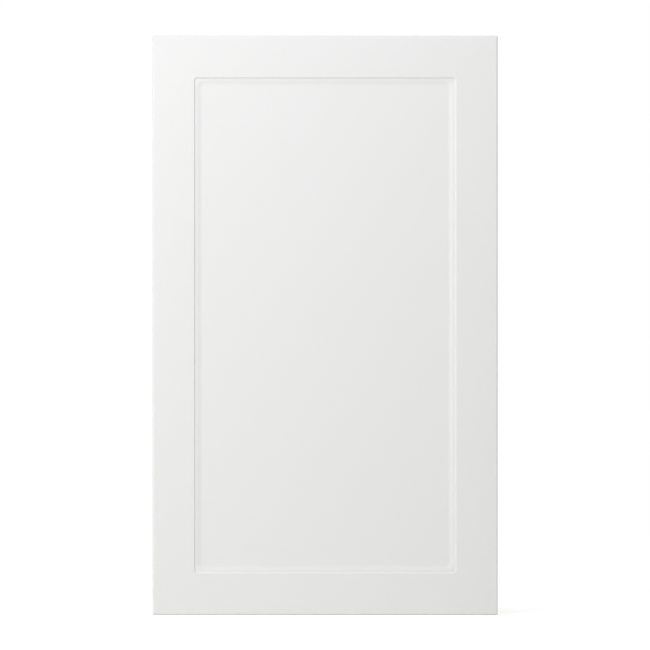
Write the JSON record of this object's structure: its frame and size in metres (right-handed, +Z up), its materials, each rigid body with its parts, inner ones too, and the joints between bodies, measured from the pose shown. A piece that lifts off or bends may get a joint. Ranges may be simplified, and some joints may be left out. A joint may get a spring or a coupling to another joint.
{
  "type": "kitchen cabinet door",
  "caption": "Upright cabinet door with a flat border, a stepped ogee moulding, a recessed plain panel and rear borings for concealed cup hinges.",
  "frame": {"origin": "centre of the rear face, the face that closes against the cabinet", "axes": "+X to the right as seen from the front, +Y out of the rear face and into the cabinet, +Z up"},
  "size_m": [0.596, 0.019, 1],
  "materials": {
    "door_finish": "white satin film over medium-density fibreboard"
  },
  "bodies": {
    "root": {"door_panel": "door_finish"}
  },
  "joints": []
}
